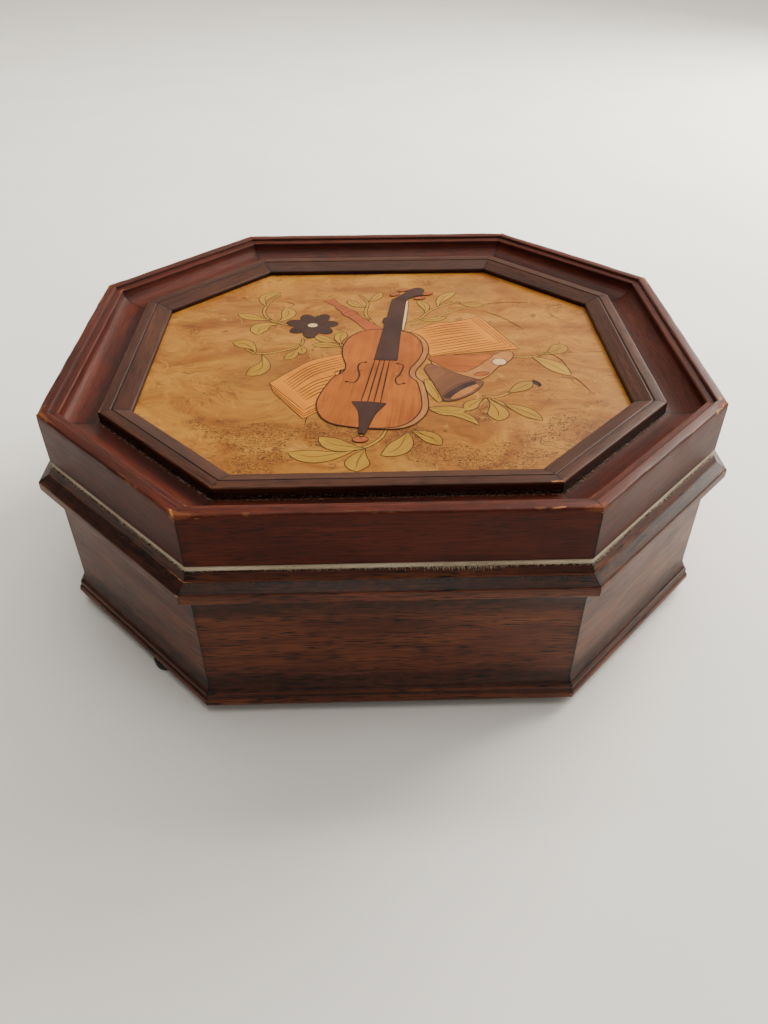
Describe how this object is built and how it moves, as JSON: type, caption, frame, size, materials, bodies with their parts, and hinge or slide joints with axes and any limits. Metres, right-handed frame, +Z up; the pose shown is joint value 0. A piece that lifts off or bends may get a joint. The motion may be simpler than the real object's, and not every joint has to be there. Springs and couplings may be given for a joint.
{
  "type": "cylinder music box",
  "caption": "Cylinder music box in a long octagonal moulded wooden case, with a hinged marquetry lid over a lined tray and a comb and drum movement under glass, wound from below.",
  "frame": {"origin": "on the table, at the centre of the outline of the rim moulding, under the feet", "axes": "+X to the right along the longer way of the octagon, +Y to the back where the lid is hinged, +Z up"},
  "size_m": [0.2302, 0.2122, 0.0804],
  "materials": {
    "mahogany": "satin lacquer, worn at the edges",
    "panel_frame": "satin lacquer",
    "marquetry": "lacquered burl veneer with inlay",
    "board": "bare plywood",
    "plush": "short pile plush",
    "glass": "clear",
    "foot": "matt",
    "hinge_brass": "tarnished",
    "bedplate": "cast, satin",
    "movement_brass": "turned, polished",
    "bright_steel": "ground",
    "dark_steel": "blued"
  },
  "bodies": {
    "case": {"bedplate": "bedplate", "bottom_board": "board", "case_liner": "plush", "case_wall_back": "mahogany", "case_wall_back_left": "mahogany", "case_wall_back_right": "mahogany", "case_wall_front": "mahogany", "case_wall_front_left": "mahogany", "case_wall_front_right": "mahogany", "case_wall_left": "mahogany", "case_wall_right": "mahogany", "comb": "bright_steel", "comb_base": "bedplate", "cylinder_bearing_left": "bedplate", "cylinder_bearing_right": "bedplate", "divider": "plush", "foot_back_left": "foot", "foot_back_right": "foot", "foot_front_left": "foot", "foot_front_right": "foot", "glass_cover": "glass", "glass_ledge": "plush", "governor_frame": "bedplate", "hinge_left_case_leaf": "hinge_brass", "hinge_left_pin": "bright_steel", "hinge_right_case_leaf": "hinge_brass", "hinge_right_pin": "bright_steel", "tray_lining": "plush"},
    "lid": {"lid_frame_front": "mahogany", "lid_frame_front_right": "mahogany", "lid_frame_right": "mahogany", "lid_frame_back_right": "mahogany", "lid_frame_back": "mahogany", "lid_frame_back_left": "mahogany", "lid_frame_left": "mahogany", "lid_frame_front_left": "mahogany", "panel_frame_front": "panel_frame", "panel_frame_front_right": "panel_frame", "panel_frame_right": "panel_frame", "panel_frame_back_right": "panel_frame", "panel_frame_back": "panel_frame", "panel_frame_back_left": "panel_frame", "panel_frame_left": "panel_frame", "panel_frame_front_left": "panel_frame", "marquetry_panel": "marquetry", "lid_lining": "plush", "lid_felt": "plush", "hinge_left_lid_leaf": "hinge_brass", "hinge_right_lid_leaf": "hinge_brass"},
    "winding_key": {"winding_key": "dark_steel", "winding_arbor": "bright_steel"},
    "drum": {"cylinder_drum": "movement_brass", "cylinder_arbor": "bright_steel", "cylinder_gear": "movement_brass"},
    "barrel": {"spring_barrel": "movement_brass", "mainspring": "dark_steel"},
    "governor": {"governor_wheel": "movement_brass"},
    "fly": {"fly_worm": "bright_steel", "fly_vane": "movement_brass"},
    "stop_rod": {"stop_rod": "bright_steel"}
  },
  "joints": [
    {"name": "lid_hinge", "type": "hinge", "parent": "case", "child": "lid", "pos_m": [0, 0.1032, 0.06075], "axis": [-1, 0, 0], "range_deg": [0, 95]},
    {"name": "winding", "type": "hinge", "parent": "case", "child": "winding_key", "pos_m": [-0.036, 0.046, 0.01], "axis": [0, 0, 1], "continuous": true},
    {"name": "drum_spin", "type": "hinge", "parent": "case", "child": "drum", "pos_m": [0.016, 0.046, 0.0395], "axis": [1, 0, 0], "continuous": true},
    {"name": "barrel_spin", "type": "hinge", "parent": "case", "child": "barrel", "pos_m": [-0.036, 0.046, 0.03], "axis": [0, 0, 1], "continuous": true},
    {"name": "governor_spin", "type": "hinge", "parent": "case", "child": "governor", "pos_m": [0.0543, 0.06024, 0.0335], "axis": [1, 0, 0], "continuous": true},
    {"name": "fly_spin", "type": "hinge", "parent": "case", "child": "fly", "pos_m": [0.0543, 0.06784, 0.04], "axis": [0, 0, 1], "continuous": true},
    {"name": "stop_rod_rise", "type": "slide", "parent": "case", "child": "stop_rod", "axis": [0, 0, 1], "range_m": [0, 0.0026]}
  ],
  "couplings": [
    {"joint": "barrel_spin", "follows": "drum_spin", "ratio": 0.25},
    {"joint": "governor_spin", "follows": "drum_spin", "ratio": -6},
    {"joint": "fly_spin", "follows": "drum_spin", "ratio": 144},
    {"joint": "stop_rod_rise", "follows": "lid_hinge", "m_per_rad": 0.0015665}
  ]
}
